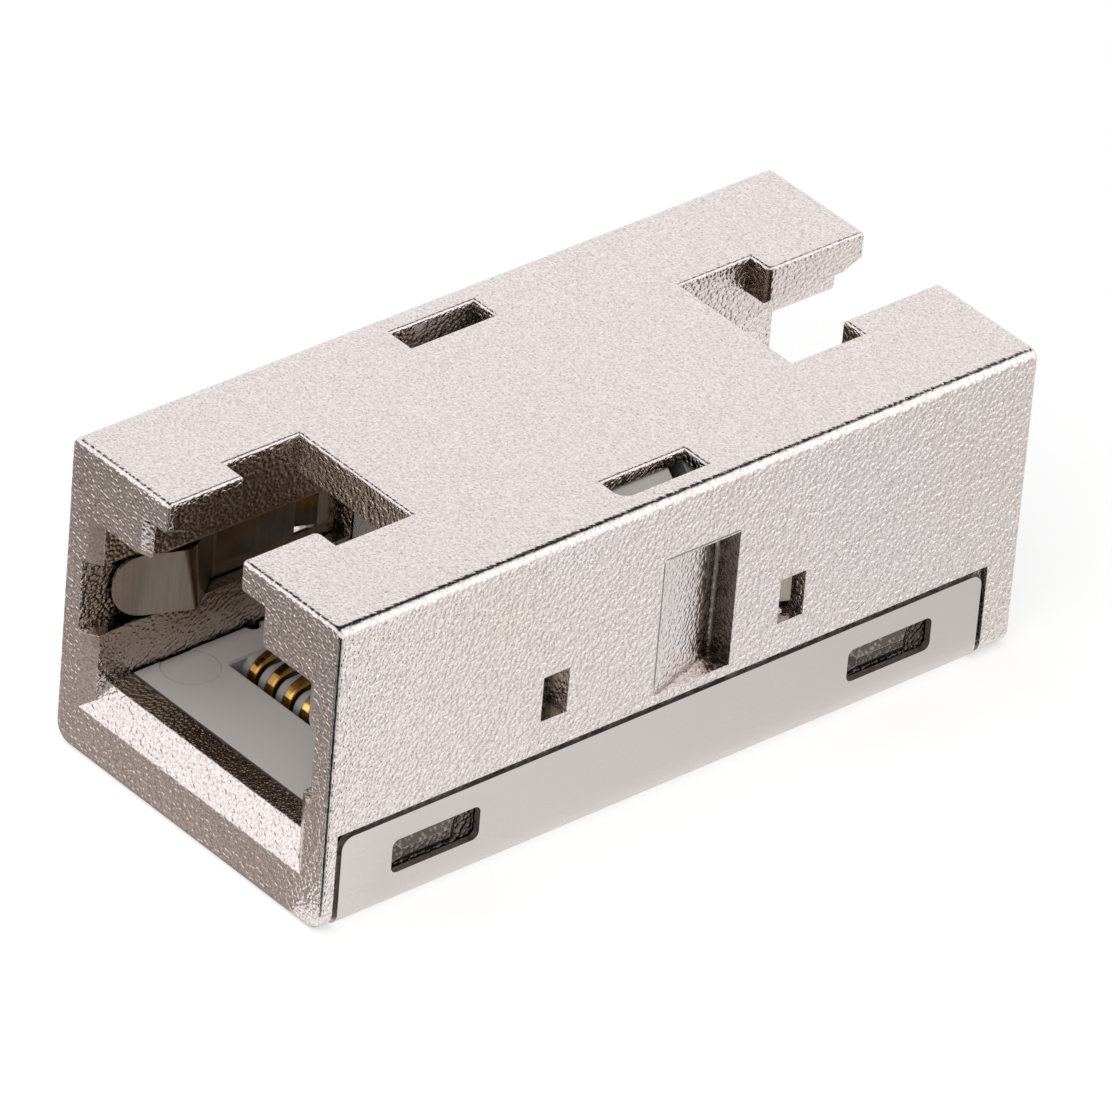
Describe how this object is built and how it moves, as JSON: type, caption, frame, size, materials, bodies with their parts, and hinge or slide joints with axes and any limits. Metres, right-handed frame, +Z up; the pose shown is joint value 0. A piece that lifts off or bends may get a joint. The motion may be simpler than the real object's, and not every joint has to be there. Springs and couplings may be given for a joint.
{
  "type": "rj45 inline coupler",
  "caption": "Shielded metal inline coupler that joins two eight-contact network plugs, with a stepped port and a latch slot at each end.",
  "frame": {"origin": "middle of the underside, on the surface that it lies on", "axes": "+X to the side with the wedge-shaped hollow that the picture shows, +Y along the length from the front port to the rear port, +Z up to the latch side"},
  "size_m": [0.0154, 0.0336, 0.0132],
  "materials": {
    "plated_casting": "satin nickel plate on a zinc casting, fine-grained on the sides",
    "plated_sheet": "smooth satin nickel plate",
    "board": "green solder mask",
    "white_moulding": "matte moulding",
    "gilt_wire": "polished gold plate",
    "spring_leaf": "bright rolled strip"
  },
  "bodies": {
    "root": {"housing": "plated_casting", "bottom_cover": "plated_sheet", "circuit_board": "board", "contact_carrier_front": "white_moulding", "contact_carrier_rear": "white_moulding", "contact_front_1": "gilt_wire", "contact_front_2": "gilt_wire", "contact_front_3": "gilt_wire", "contact_front_4": "gilt_wire", "contact_front_5": "gilt_wire", "contact_front_6": "gilt_wire", "contact_front_7": "gilt_wire", "contact_front_8": "gilt_wire", "contact_rear_1": "gilt_wire", "contact_rear_2": "gilt_wire", "contact_rear_3": "gilt_wire", "contact_rear_4": "gilt_wire", "contact_rear_5": "gilt_wire", "contact_rear_6": "gilt_wire", "contact_rear_7": "gilt_wire", "contact_rear_8": "gilt_wire", "shield_spring_front_left": "spring_leaf", "shield_spring_front_right": "spring_leaf", "shield_spring_rear_left": "spring_leaf", "shield_spring_rear_right": "spring_leaf"}
  },
  "joints": []
}
